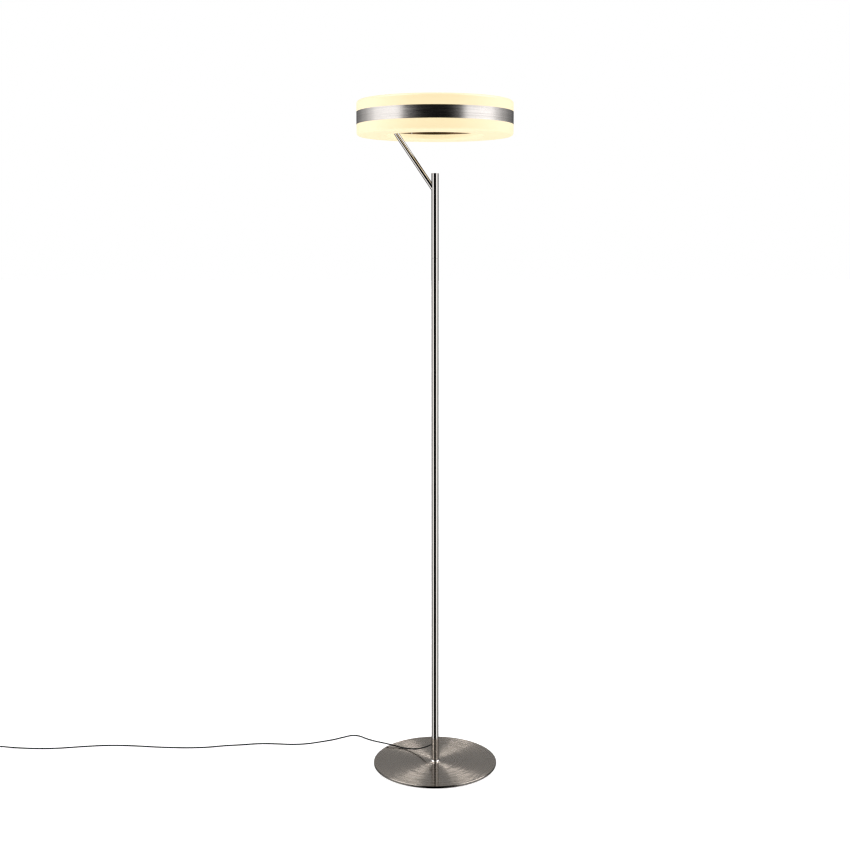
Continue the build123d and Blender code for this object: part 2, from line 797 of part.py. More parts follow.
screw_spots = [(side * switch_screw_spacing / 2, 0) for side in (-1, 1)]
with BuildPart() as switch_base:
    with BuildSketch(switch_plane):
        switch_outline(0)
    extrude(amount=switch_split)
    fillet(switch_base.faces().sort_by(Axis.Z)[0].outer_wire().edges(), switch_edge / 2)
    with BuildSketch(switch_plane.offset(switch_wall)):
        switch_outline(switch_wall)
    extrude(amount=switch_split - switch_wall, mode=Mode.SUBTRACT)
    with BuildSketch(switch_plane.offset(switch_wall)):
        with Locations(*screw_spots):
            Circle(switch_post_diameter / 2)
    extrude(amount=switch_board_height - switch_wall)
    with BuildSketch(switch_plane.offset(switch_wall)):
        with GridLocations(switch_board_length - 6, switch_board_width - 6, 2, 2):
            Circle(2)
    extrude(amount=switch_board_height - switch_wall)
    with BuildSketch(switch_plane):
        with Locations(*screw_spots):
            Circle(switch_screw_diameter / 2 + slip_gap)
    extrude(amount=switch_board_height, mode=Mode.SUBTRACT)
    with BuildSketch(switch_plane):
        with Locations(*screw_spots):
            Circle(switch_screw_head_diameter / 2 + slip_gap)
    extrude(amount=switch_screw_head_height + 2 * slip_gap, mode=Mode.SUBTRACT)
    with Locations((switch_x, switch_y, inlet_height)):
        Cylinder(bush_diameter / 2 + running_gap, 2 * switch_length, rotation=(0, 90, 0), mode=Mode.SUBTRACT)
pieces["switch_base"] = switch_base

switch_ceiling = switch_height - switch_wall
with BuildPart() as switch_cover:
    with BuildSketch(switch_plane.offset(switch_split)):
        switch_outline(0)
    extrude(amount=switch_height - switch_split)
    fillet(switch_cover.faces().sort_by(Axis.Z)[-1].outer_wire().edges(), switch_edge)
    with BuildSketch(switch_plane.offset(switch_split)):
        switch_outline(switch_wall)
    extrude(amount=switch_ceiling - switch_split, mode=Mode.SUBTRACT)
    with BuildSketch(switch_plane.offset(switch_board_height + slip_gap)):
        with Locations(*screw_spots):
            Circle(switch_post_diameter / 2)
    extrude(amount=switch_ceiling - switch_board_height - slip_gap)
    with BuildSketch(switch_plane.offset(switch_board_height)):
        with Locations(*screw_spots):
            Circle(switch_screw_diameter / 2 + running_gap)
    extrude(amount=switch_screw_length, mode=Mode.SUBTRACT)
    with BuildSketch(switch_plane.offset(switch_height)):
        Circle(button_diameter / 2 + moving_gap)
    extrude(amount=-2 * switch_wall, mode=Mode.SUBTRACT)
pieces["switch_cover"] = switch_cover

button_flange_top = switch_ceiling - moving_gap
button_flange_z = button_flange_top - button_flange_thickness
contact_top = switch_board_height + switch_board_thickness + contact_height
with BuildPart() as switch_button:
    with BuildSketch(switch_plane.offset(button_flange_z)):
        Circle(button_diameter / 2)
    extrude(amount=switch_height + button_rise - button_flange_z)
    fillet(switch_button.edges().group_by(Axis.Z)[-1], button_rise / 2)
    with BuildSketch(switch_plane.offset(button_flange_z)):
        Circle(button_diameter / 2 + button_flange)
    extrude(amount=button_flange_thickness)
    with BuildSketch(switch_plane.offset(contact_top + button_travel + moving_gap)):
        Circle(button_stem_diameter / 2)
    extrude(amount=button_flange_z - contact_top - button_travel - moving_gap)
pieces["switch_button"] = switch_button

with BuildPart() as switch_board:
    with BuildSketch(switch_plane.offset(switch_board_height)):
        Rectangle(switch_board_length, switch_board_width)
    extrude(amount=switch_board_thickness)
    with BuildSketch(switch_plane.offset(switch_board_height + switch_board_thickness)):
        RectangleRounded(contact_size, contact_size, contact_size / 6)
    extrude(amount=contact_height)
pieces["switch_board"] = switch_board

spring_z = switch_board_height + switch_board_thickness + spring_wire / 2 + running_gap
spring_rise = button_flange_z - spring_wire / 2 - running_gap - spring_z
with BuildPart() as switch_spring:
    with BuildLine() as spring_path:
        Helix(
            spring_rise / spring_turns,
            spring_rise,
            (spring_diameter - spring_wire) / 2,
            center=(switch_x, switch_y, spring_z),
        )
    with BuildSketch(Plane(origin=spring_path.edges()[0] @ 0, z_dir=spring_path.edges()[0] % 0)):
        Circle(spring_wire / 2)
    sweep(is_frenet=True)
pieces["switch_spring"] = switch_spring

with BuildPart() as switch_screws:
    with BuildSketch(switch_plane.offset(slip_gap)):
        with Locations(*screw_spots):
            Circle(switch_screw_head_diameter / 2)
    extrude(amount=switch_screw_head_height)
    with BuildSketch(switch_plane.offset(slip_gap)):
        with Locations(*screw_spots):
            Circle(switch_screw_diameter / 2)
    extrude(amount=switch_screw_length)
    with BuildSketch(switch_plane.offset(slip_gap)):
        with Locations(*screw_spots):
            RectangleRounded(switch_screw_head_diameter * 0.6, 0.8, 0.3)
    extrude(amount=switch_screw_head_height / 2, mode=Mode.SUBTRACT)
pieces["switch_screws"] = switch_screws


def tapered_bush(mouth, direction, inside, outside, root_diameter, tip_diameter):
    """A cord relief through an end wall: a shank inside, a taper outside, bored for the cord."""
    bush_plane = Plane(origin=mouth, z_dir=direction)
    with BuildPart() as bush:
        with BuildSketch(bush_plane.offset(-inside)):
            Circle(bush_diameter / 2)
        extrude(amount=inside + outside / 4)
        with BuildSketch(bush_plane):
            Circle(root_diameter / 2)
        with BuildSketch(bush_plane.offset(outside)):
            Circle(tip_diameter / 2)
        loft()
        with BuildSketch(bush_plane.offset(-inside)):
            Circle(cord_diameter / 2 + running_gap)
        extrude(amount=inside + outside, mode=Mode.SUBTRACT)
    return bush


near_mouth = (switch_near_x, switch_y, inlet_height)
far_mouth = (switch_far_x, switch_y, inlet_height)
bush_root = bush_diameter + 1.2
near_bush = tapered_bush(near_mouth, (1, 0, 0), bush_inside, bush_outside, bush_root, bush_tip_diameter)
far_bush = tapered_bush(far_mouth, (-1, 0, 0), bush_inside, bush_outside, bush_root, bush_tip_diameter)
pieces["switch_bush_near"] = near_bush
pieces["switch_bush_far"] = far_bush

# ------------------------------------------------------------------ rest of the cord
# From the switch the cord goes into a small tied coil, and out of it to the adapter beside it.
coil_mid_z = coil_lift + coil_height / 2
tail_points = [
    (switch_far_x + bush_inside, switch_y, inlet_height),
    (switch_far_x - bush_outside - 1.5, switch_y + 0.2, inlet_height - 0.4),
    (-1349, 96.5, 3.2),
    (-1366, 86.5, 2.6),
    (-1384, 82.6, 2.8),
]
pieces["cord_tail"] = tube(tail_points, cord_diameter)

with BuildPart() as cord_coil:
    with BuildSketch(Plane(origin=(coil_x, coil_y, 0), x_dir=(1, 0, 0), z_dir=(0, -1, 0))):
        with Locations((coil_turn_diameter / 2, coil_mid_z)):
            RectangleRounded(coil_width, coil_height, cord_diameter / 2)
    revolve(axis=Axis((coil_x, coil_y, 0), (0, 0, 1)))
pieces["cord_coil"] = cord_coil

# The tie: a soft strap round the coil's strands, on the side away from the adapter.
with BuildPart() as cord_tie:
    with Locations((coil_x, coil_y - coil_turn_diameter / 2, coil_mid_z)):
        Box(tie_width, coil_width + 2 * tie_thickness, coil_height + 2 * tie_thickness)
    fillet(cord_tie.edges().filter_by(Axis.X), cord_diameter / 2)
    with Locations((coil_x, coil_y - coil_turn_diameter / 2, coil_mid_z)):
        Box(tie_width, coil_width + 2 * running_gap, coil_height + 2 * running_gap, mode=Mode.SUBTRACT)
pieces["cord_tie"] = cord_tie

adapter_mouth_x = adapter_x - adapter_length / 2
adapter_inlet_z = adapter_split / 2
end_points = [
    (-1410.5, 104, 2.8),
    (-1411.5, 124, 2.2),
    (-1409, 144, 2.6),
    (-1400, 161, 4.8),
    (-1384, 171.2, 7.6),
    (adapter_mouth_x + adapter_relief_inside, adapter_y, adapter_inlet_z),
]
pieces["cord_end"] = tube(end_points, cord_diameter)

# ------------------------------------------------------------------ plug-in adapter
# Two shells round a small supply board, lying on its back with the blades up.
adapter_plane = Plane(origin=(adapter_x, adapter_y, 0))


def adapter_outline(inset):
    """The adapter's rounded outline, set in by a given amount."""
    RectangleRounded(adapter_length - 2 * inset, adapter_width - 2 * inset, adapter_corner - inset)


with BuildPart() as adapter_back:
    with BuildSketch(adapter_plane):
        adapter_outline(0)
    extrude(amount=adapter_split)
    fillet(adapter_back.faces().sort_by(Axis.Z)[0].outer_wire().edges(), adapter_wall)
    with BuildSketch(adapter_plane.offset(adapter_wall)):
        adapter_outline(adapter_wall)
    extrude(amount=adapter_split - adapter_wall, mode=Mode.SUBTRACT)
    with BuildSketch(adapter_plane.offset(adapter_wall)):
        with GridLocations(adapter_length - 6 * adapter_wall, adapter_width - 6 * adapter_wall, 2, 2):
            Circle(adapter_wall)
    extrude(amount=adapter_board_height - adapter_wall)
    with Locations((adapter_mouth_x, adapter_y, adapter_inlet_z)):
        Cylinder(bush_diameter / 2 + running_gap, 4 * adapter_wall, rotation=(0, 90, 0), mode=Mode.SUBTRACT)
pieces["adapter_back"] = adapter_back

blade_x = adapter_length / 2 - blade_inset
blade_spots = [(blade_x, side * blade_spacing / 2) for side in (-1, 1)]
with BuildPart() as adapter_front:
    with BuildSketch(adapter_plane.offset(adapter_split)):
        adapter_outline(0)
    extrude(amount=adapter_height - adapter_split)
    fillet(adapter_front.faces().sort_by(Axis.Z)[-1].outer_wire().edges(), adapter_wall)
    with BuildSketch(adapter_plane.offset(adapter_split)):
        adapter_outline(adapter_wall)
    extrude(amount=adapter_height - adapter_wall - adapter_split, mode=Mode.SUBTRACT)
    with BuildSketch(adapter_plane.offset(adapter_height)):
        with Locations(*blade_spots):
            Rectangle(blade_width + 2 * running_gap, blade_thickness + 2 * running_gap)
    extrude(amount=-2 * adapter_wall, mode=Mode.SUBTRACT)
pieces["adapter_front"] = adapter_front

with BuildPart() as adapter_blades:
    with BuildSketch(adapter_plane.offset(adapter_height - blade_root)):
        with Locations(*blade_spots):
            Rectangle(blade_width, blade_thickness)
    extrude(amount=blade_root + blade_length)
    tips = adapter_blades.edges().group_by(Axis.Z)[-1].filter_by(Axis.X)
    chamfer(tips, blade_thickness / 3)
    with Locations((adapter_x + blade_x, adapter_y, adapter_height + blade_hole_height)):
        Cylinder(blade_hole_diameter / 2, 2 * blade_spacing, rotation=(90, 0, 0), mode=Mode.SUBTRACT)
pieces["adapter_blades"] = adapter_blades

with BuildPart() as adapter_board:
    with BuildSketch(adapter_plane.offset(adapter_board_height)):
        Rectangle(adapter_length - 4 * adapter_wall - 2, adapter_width - 4 * adapter_wall)
    extrude(amount=board_thickness)
pieces["adapter_board"] = adapter_board

component_z = adapter_board_height + board_thickness
with BuildPart() as adapter_components:
    with Locations((adapter_x, adapter_y, component_z)):
        with Locations((2, 0, 0)):
            Box(
                transformer_size,
                transformer_size,
                transformer_size * 0.8,
                align=(Align.CENTER, Align.CENTER, Align.MIN),
            )
        with Locations((-20, 7, 0), (-20, -7, 0)):
            Cylinder(
                capacitor_diameter / 2,
                capacitor_length,
                align=(Align.CENTER, Align.CENTER, Align.MIN),
            )
pieces["adapter_components"] = adapter_components

adapter_mouth = (adapter_mouth_x, adapter_y, adapter_inlet_z)
pieces["adapter_relief"] = tapered_bush(
    adapter_mouth,
    (-1, 0, 0),
    adapter_relief_inside,
    adapter_relief_length - adapter_relief_inside,
    adapter_relief_root_diameter,
    bush_tip_diameter,
)

# ------------------------------------------------------------------ labels and files
os.makedirs("parts", exist_ok=True)
for name, piece in pieces.items():
    piece.part.label = name
    export_step(piece.part, f"parts/{name}.step")
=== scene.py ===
import math

import bpy
import numpy as np
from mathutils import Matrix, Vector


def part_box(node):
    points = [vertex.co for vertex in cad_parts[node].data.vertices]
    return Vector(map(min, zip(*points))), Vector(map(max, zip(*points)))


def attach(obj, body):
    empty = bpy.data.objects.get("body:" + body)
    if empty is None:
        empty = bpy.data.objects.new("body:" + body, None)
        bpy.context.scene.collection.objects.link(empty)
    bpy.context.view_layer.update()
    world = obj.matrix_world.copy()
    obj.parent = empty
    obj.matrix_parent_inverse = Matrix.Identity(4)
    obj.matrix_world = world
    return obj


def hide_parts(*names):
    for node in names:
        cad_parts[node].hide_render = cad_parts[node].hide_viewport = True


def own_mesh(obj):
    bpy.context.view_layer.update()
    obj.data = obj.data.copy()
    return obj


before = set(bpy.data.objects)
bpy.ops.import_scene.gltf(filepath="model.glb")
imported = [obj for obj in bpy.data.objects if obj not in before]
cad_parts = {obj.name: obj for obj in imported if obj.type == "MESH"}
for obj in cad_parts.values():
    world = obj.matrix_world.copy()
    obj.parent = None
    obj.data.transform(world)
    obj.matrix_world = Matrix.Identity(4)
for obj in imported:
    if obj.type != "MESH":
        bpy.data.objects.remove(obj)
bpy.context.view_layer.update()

# ---------------------------------------------------------------- base plate
# The base is a flat steel disc, turned in fine rings on a lathe, polished and clear coated.
# Polished lands mirror the pole, and between them fine grooves run round it, which break the
# light into wedges that point at the middle.
SPUN_STEEL = (0.85, 0.75, 0.65, 1)
RIM_STEEL = (0.12, 0.11, 0.10, 1)
PLATE_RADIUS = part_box("base_plate")[1][0]
RIM_WIDTH = 0.0012
RIM_FADE = 0.0008


def feed(tree, socket, value):
    """Gives an input a plain value, or links it if the value is another node's output."""
    if isinstance(value, bpy.types.NodeSocket):
        tree.links.new(value, socket)
    else:
        socket.default_value = value


def put(tree, kind, settings=None, **inputs):
    """Adds one node to a tree.  settings are its own options, and each input is either a plain
    value or another node's output, which is then linked.  _0 and _1 mean the input's number."""
    node = tree.nodes.new(kind)
    for name, value in (settings or {}).items():
        setattr(node, name, value)
    for name, value in inputs.items():
        key = int(name[1:]) if name.startswith("_") else name.replace("_", " ")
        feed(tree, node.inputs[key], value)
    return node


def effect(name, inputs, outputs):
    """A new shader node group with the named inputs and outputs, each (name, socket type, value).
    Returns its tree, the group's input node, and its output node."""
    group = bpy.data.node_groups.new(name, "ShaderNodeTree")
    for socket_name, kind, value in inputs:
        socket = group.interface.new_socket(socket_name, in_out="INPUT", socket_type=kind)
        if value is not None:
            socket.default_value = value
    for socket_name, kind in outputs:
        group.interface.new_socket(socket_name, in_out="OUTPUT", socket_type=kind)
    return group, group.nodes.new("NodeGroupInput"), group.nodes.new("NodeGroupOutput")


def finish(name, colour, roughness, metallic=0.0, **plain):
    """A material with one Principled shader.  What is the same all over is a plain value on
    the shader's own sockets.  Returns the material, its tree, the shader and the Object coordinates."""
    material = bpy.data.materials.new(name)
    material.use_nodes = True
    tree = material.node_tree
    shader = tree.nodes["Principled BSDF"]
    shader.inputs["Base Color"].default_value = colour
    shader.inputs["Roughness"].default_value = roughness
    shader.inputs["Metallic"].default_value = metallic
    for socket_name, value in plain.items():
        shader.inputs[socket_name.replace("_", " ")].default_value = value
    place = tree.nodes.new("ShaderNodeTexCoord").outputs["Object"]
    return material, tree, shader, place


def dress(material, *nodes):
    """Gives CAD nodes a material, in every slot they have."""
    for name in nodes:
        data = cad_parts[name].data
        if not data.materials:
            data.materials.append(material)
        for index in range(len(data.materials)):
            data.materials[index] = material


def use(tree, group, **inputs):
    """Places a node group in a material with its own values."""
    return put(tree, "ShaderNodeGroup", {"node_tree": group}, **inputs)


def between(tree, mask, low, high):
    """A value that goes from low to high as a mask goes from 0 to 1."""
    return put(tree, "ShaderNodeMapRange", None, Value=mask, To_Min=low, To_Max=high).outputs["Result"]


def tones(tree, mask, dark, light):
    """A colour that goes from dark to light as a mask goes from 0 to 1.  Either end is a plain
    colour or another node's output."""
    node = put(tree, "ShaderNodeMix", {"data_type": "RGBA"}, Factor=mask)
    ends = [socket for socket in node.inputs if socket.type == "RGBA"]
    for socket, value in zip(ends, (dark, light)):
        feed(tree, socket, value)
    return [socket for socket in node.outputs if socket.type == "RGBA"][0]


def paint(tree, shader, mask, dark, light):
    """The surface's own colour, from dark to light as a mask goes from 0 to 1."""
    tree.links.new(tones(tree, mask, dark, light), shader.inputs["Base Color"])


def fade(tree, value, start, end):
    """A mask that goes softly from 0 to 1 as a value goes from start to end."""
    soft = {"interpolation_type": "SMOOTHSTEP"}
    step = put(tree, "ShaderNodeMapRange", soft, Value=value, From_Min=start, From_Max=end)
    return step.outputs["Result"]


def maths(tree, operation, *values):
    """The result of one Math node on one to three values."""
    inputs = {f"_{number}": value for number, value in enumerate(values)}
    return put(tree, "ShaderNodeMath", {"operation": operation}, **inputs).outputs[0]


def noise(tree, vector, scale, detail, **more):
    """A cloudy noise round 0.5, with this many features to the vector's unit."""
    inputs = {"Vector": vector, "Scale": scale, "Detail": detail, **more}
    return put(tree, "ShaderNodeTexNoise", None, **inputs).outputs["Fac"]


def from_axis(tree, vector):
    """A point's distance from the pole's axis, and its X and Y."""
    apart = put(tree, "ShaderNodeSeparateXYZ", None, Vector=vector)
    x, y = apart.outputs["X"], apart.outputs["Y"]
    flat = put(tree, "ShaderNodeCombineXYZ", None, X=x, Y=y)
    distance = put(tree, "ShaderNodeVectorMath", {"operation": "LENGTH"}, _0=flat.outputs[0])
    return distance.outputs["Value"], x, y


def comb_round(tree, shader):
    """Makes the brushed highlight follow rings round the pole's axis."""
    round_axis = put(tree, "ShaderNodeTangent", {"direction_type": "RADIAL", "axis": "Z"})
    tree.links.new(round_axis.outputs[0], shader.inputs["Tangent"])


def relief(tree, shader, height, distance, strength=1.0):
    """Fine relief: a height from 0 to 1 stands for this distance in metres."""
    bump = put(tree, "ShaderNodeBump", None, Height=height, Distance=distance, Strength=strength)
    tree.links.new(bump.outputs["Normal"], shader.inputs["Normal"])


# Fine lines from a brush, a lathe tool or a drawing die: a noise that is drawn out along
# the lines, because its coordinates are squeezed that way before they come in.
fine_lines, lines_in, lines_out = effect(
    "fine_lines",
    [("Vector", "NodeSocketVector", None), ("Coarse", "NodeSocketFloat", 0.12)],
    [("Lines", "NodeSocketFloat"), ("Bands", "NodeSocketFloat")],
)
hairlines = noise(fine_lines, lines_in.outputs["Vector"], 1.0, 4.0, Roughness=0.7)
coarse = lines_in.outputs["Coarse"]
wide_vector = put(fine_lines, "ShaderNodeVectorMath", {"operation": "SCALE"}, Scale=coarse)
fine_lines.links.new(lines_in.outputs["Vector"], wide_vector.inputs[0])
wide_bands = noise(fine_lines, wide_vector.outputs[0], 1.0, 2.0, Roughness=0.5)
sharper = put(fine_lines, "ShaderNodeMapRange", None, Value=hairlines, From_Min=0.3, From_Max=0.7)
fine_lines.links.new(sharper.outputs["Result"], lines_out.inputs["Lines"])
softer = put(fine_lines, "ShaderNodeMapRange", None, Value=wide_bands, From_Min=0.3, From_Max=0.7)
fine_lines.links.new(softer.outputs["Result"], lines_out.inputs["Bands"])

# Handling marks: faint cloudy patches where a cloth or a hand has been.
handling, handling_in, handling_out = effect(
    "handling_marks",
    [("Vector", "NodeSocketVector", None), ("Size", "NodeSocketFloat", 14.0)],
    [("Mask", "NodeSocketFloat")],
)
patch_size = handling_in.outputs["Size"]
clouds = noise(handling, handling_in.outputs["Vector"], patch_size, 5.0, Roughness=0.6, Distortion=0.6)
patches = fade(handling, clouds, 0.42, 0.68)
handling.links.new(patches, handling_out.inputs["Mask"])

# Rings round the pole: the distance from the axis, with the angle left nearly still.
rings, rings_in, rings_out = effect(
    "ring_coordinates",
    [
        ("Vector", "NodeSocketVector", None),
        ("Across", "NodeSocketFloat", 2200.0),
        ("Along", "NodeSocketFloat", 14.0),
    ],
    [("Vector", "NodeSocketVector")],
)
radius, axis_x, axis_y = from_axis(rings, rings_in.outputs["Vector"])
across = maths(rings, "MULTIPLY", radius, rings_in.outputs["Across"])
along_x = maths(rings, "MULTIPLY", axis_x, rings_in.outputs["Along"])
along_y = maths(rings, "MULTIPLY", axis_y, rings_in.outputs["Along"])
joined = put(rings, "ShaderNodeCombineXYZ", None, X=along_x, Y=along_y, Z=across)
rings.links.new(joined.outputs[0], rings_out.inputs["Vector"])

spun, tree, shader, place = finish(
    "spun_steel", SPUN_STEEL, 0.34, 1.0,
    Anisotropic=1.0, Anisotropic_Rotation=0.25, Coat_Weight=1.0, Coat_IOR=2.1, Coat_Roughness=0.04,
)
turned = use(tree, rings, Vector=place, Across=4200.0, Along=9.0)
grooves = use(tree, fine_lines, Vector=turned.outputs["Vector"], Coarse=0.09)
smears = use(tree, handling, Vector=place, Size=11.0)
radius = from_axis(tree, place)[0]
rim_start = PLATE_RADIUS - RIM_WIDTH
rim_end = rim_start + RIM_FADE
at_rim = put(tree, "ShaderNodeMapRange", None, Value=radius, From_Min=rim_start, From_Max=rim_end)
face = tones(tree, grooves.outputs["Bands"], (0.84, 0.74, 0.64, 1), (0.86, 0.76, 0.66, 1))
paint(tree, shader, at_rim.outputs["Result"], face, RIM_STEEL)
tree.links.new(between(tree, at_rim.outputs["Result"], 1.0, 0.0), shader.inputs["Coat Weight"])
crests = fade(tree, grooves.outputs["Lines"], 0.42, 0.78)
groove_roughness = between(tree, crests, 0.08, 0.54)
smeared = maths(tree, "MULTIPLY_ADD", smears.outputs["Mask"], 0.03, groove_roughness)
tree.links.new(smeared, shader.inputs["Roughness"])
relief(tree, shader, grooves.outputs["Lines"], 0.000004, 0.5)
comb_round(tree, shader)
dress(spun, "base_plate")

# ---------------------------------------------------------------- pad under the base
# A disc of foamed rubber with a felted face is glued under the plate, set in from its edge,
# so that the steel doesn't mark the floor.
felt, tree, shader, place = finish("felt_pad", (0.03, 0.03, 0.03, 1), 0.95, Sheen_Weight=0.3)
tufts = noise(tree, place, 900.0, 6.0, Roughness=0.75)
paint(tree, shader, tufts, (0.015, 0.015, 0.016, 1), (0.07, 0.068, 0.066, 1))
relief(tree, shader, tufts, 0.0006)
dress(felt, "base_pad")

# ---------------------------------------------------------------- foot screw, insert and joints
# One socket screw comes up through the plate into a turned insert in the pole.
# The pole's three tubes screw together on turned, zinc plated sockets and studs.


def dull(tree, shader, mask, low, high):
    """The surface's roughness, from low to high as a mask goes from 0 to 1."""
    tree.links.new(between(tree, mask, low, high), shader.inputs["Roughness"])


turned_zinc, tree, shader, place = finish("turned_zinc", (0.60, 0.60, 0.58, 1), 0.35, 1.0)
lathe = use(tree, rings, Vector=place, Across=2600.0, Along=30.0)
lathe_lines = use(tree, fine_lines, Vector=lathe.outputs["Vector"], Coarse=0.2)
blush = use(tree, handling, Vector=place, Size=90.0)
paint(tree, shader, blush.outputs["Mask"], (0.62, 0.62, 0.60, 1), (0.46, 0.48, 0.52, 1))
dull(tree, shader, lathe_lines.outputs["Lines"], 0.26, 0.48)
relief(tree, shader, lathe_lines.outputs["Lines"], 0.00002, 0.6)
dress(turned_zinc, "base_screw", "foot_insert", "lower_socket", "lower_stud", "upper_socket", "upper_stud")
dress(turned_zinc, "arm_screws", "board_screws", "diffuser_screws", "switch_screws")

# ---------------------------------------------------------------- pole, collar, cap and arm
# Drawn steel tube, polished along its length and plated.  Its colour is darkened where the
# surface turns away from the eye: painted shade along the tube's edges.  The collar at the foot
# and the cap on top are turned from the same steel, and the slant arm is welded to its pad.


def drawn_out(tree, vector, density):
    """A vector times a density for each axis, which draws a pattern out where it is low."""
    scaled = put(tree, "ShaderNodeVectorMath", {"operation": "MULTIPLY"}, _0=vector, _1=density)
    return scaled.outputs[0]


def facing_away(tree):
    """How far the surface turns away from the eye, from 0 to 1."""
    return put(tree, "ShaderNodeLayerWeight", None, Blend=0.5).outputs["Facing"]


drawn, tree, shader, place = finish(
    "polished_tube", (0.72, 0.69, 0.66, 1), 0.07, 1.0, Specular_Tint=(0.45, 0.43, 0.42, 1)
)
squeezed = drawn_out(tree, place, (1500.0, 1500.0, 16.0))
polish = use(tree, fine_lines, Vector=squeezed, Coarse=0.25)
hands = use(tree, handling, Vector=place, Size=7.0)
streaks = tones(tree, polish.outputs["Bands"], (0.72, 0.69, 0.66, 1), (0.78, 0.75, 0.72, 1))
# painted shade: the tube's colour darkens towards the edges that turn away from the eye
painted_edge_shade = fade(tree, facing_away(tree), 0.12, 0.34)
paint(tree, shader, painted_edge_shade, streaks, (0.13, 0.125, 0.12, 1))
polish_roughness = between(tree, polish.outputs["Lines"], 0.05, 0.11)
handled = maths(tree, "MULTIPLY_ADD", hands.outputs["Mask"], 0.03, polish_roughness)
tree.links.new(handled, shader.inputs["Roughness"])
relief(tree, shader, polish.outputs["Lines"], 0.000002, 0.3)
dress(drawn, "pole_lower", "pole_middle", "pole_upper", "arm_tube")

turned_bright, tree, shader, place = finish("turned_bright_steel", (0.72, 0.69, 0.66, 1), 0.14, 1.0)
tool = use(tree, rings, Vector=place, Across=3000.0, Along=20.0)
tool_marks = use(tree, fine_lines, Vector=tool.outputs["Vector"], Coarse=0.2)
paint(tree, shader, tool_marks.outputs["Bands"], (0.66, 0.63, 0.60, 1), (0.76, 0.73, 0.70, 1))
dull(tree, shader, tool_marks.outputs["Lines"], 0.08, 0.22)
relief(tree, shader, tool_marks.outputs["Lines"], 0.000004, 0.3)
dress(turned_bright, "foot_collar", "pole_cap", "arm_pad")

# ---------------------------------------------------------------- ring: metal bands
# Two rolled steel strips, brushed lengthwise before they are bent into hoops.  The outer one
# is a belt round the lit ring, and the taller inner one lines its hole and takes the arm; its dark brown is
# painted shade, warmed by the ring's glow.


def brushed(name, dark, light):
    """A strip of steel brushed round the pole's axis, between two tones."""
    band, tree, shader, place = finish(name, light, 0.28, 1.0, Anisotropic=0.85, Anisotropic_Rotation=0.25)
    stretched = drawn_out(tree, place, (10.0, 10.0, 1100.0))
    brushing = use(tree, fine_lines, Vector=stretched, Coarse=0.3)
    touch = use(tree, handling, Vector=place, Size=9.0)
    paint(tree, shader, brushing.outputs["Bands"], dark, light)
    band_roughness = between(tree, brushing.outputs["Lines"], 0.18, 0.34)
    touched = maths(tree, "MULTIPLY_ADD", touch.outputs["Mask"], 0.04, band_roughness)
    tree.links.new(touched, shader.inputs["Roughness"])
    relief(tree, shader, brushing.outputs["Lines"], 0.000008, 0.5)
    comb_round(tree, shader)
    return band


dress(brushed("brushed_belt", (0.60, 0.565, 0.54, 1), (0.73, 0.695, 0.67, 1)), "outer_band")
# the liner is the belt's steel; its darker brown tones are painted shade, tinted warm by the lit ring
dress(brushed("liner_painted_warm_shade", (0.20, 0.13, 0.075, 1), (0.30, 0.20, 0.12, 1)), "inner_band")

# ---------------------------------------------------------------- ring: carrier, boards and diodes
# Inside the ring a rolled aluminium channel carries two circuit boards, open rings that face up
# and down, each with two rows of small yellow-faced diodes.
channel, tree, shader, place = finish("carrier_aluminium", (0.74, 0.75, 0.77, 1), 0.36, 1.0)
rolled = use(tree, rings, Vector=place, Across=900.0, Along=6.0)
rolling = use(tree, fine_lines, Vector=rolled.outputs["Vector"], Coarse=0.2)
paint(tree, shader, rolling.outputs["Bands"], (0.68, 0.69, 0.71, 1), (0.80, 0.81, 0.83, 1))
dull(tree, shader, rolling.outputs["Lines"], 0.28, 0.46)
dress(channel, "carrier")

white_board, tree, shader, place = finish("white_solder_mask", (0.86, 0.86, 0.84, 1), 0.4)
tracks = put(tree, "ShaderNodeTexVoronoi", {"distance": "CHEBYCHEV"}, Vector=place, Scale=120.0)
paint(tree, shader, tracks.outputs["Distance"], (0.88, 0.88, 0.86, 1), (0.76, 0.77, 0.74, 1))
relief(tree, shader, tracks.outputs["Distance"], 0.00003)
dress(white_board, "upper_led_board", "lower_led_board")

diode, tree, shader, place = finish("diode_face", (0.95, 0.75, 0.25, 1), 0.5, Emission_Strength=2.0)
cell = noise(tree, place, 1400.0, 1.0)
paint(tree, shader, cell, (0.95, 0.72, 0.22, 1), (1.0, 0.86, 0.42, 1))
tree.links.new(tones(tree, cell, (1.0, 0.80, 0.45, 1), (1.0, 0.90, 0.62, 1)), shader.inputs["Emission Color"])
dress(diode, "upper_leds", "lower_leds")

nylon, tree, shader, place = finish("natural_nylon", (0.82, 0.80, 0.72, 1), 0.45, Subsurface_Weight=0.1)
flow = noise(tree, place, 220.0, 3.0)
paint(tree, shader, flow, (0.76, 0.74, 0.66, 1), (0.86, 0.85, 0.78, 1))
relief(tree, shader, flow, 0.00005)
dress(nylon, "terminal_block")

wire, tree, shader, place = finish("wire_sleeve", (0.65, 0.06, 0.05, 1), 0.42)
run = noise(tree, place, 300.0, 2.0)
paint(tree, shader, run, (0.50, 0.04, 0.035, 1), (0.72, 0.09, 0.07, 1))
relief(tree, shader, run, 0.00004)
dress(wire, "feed_wires")
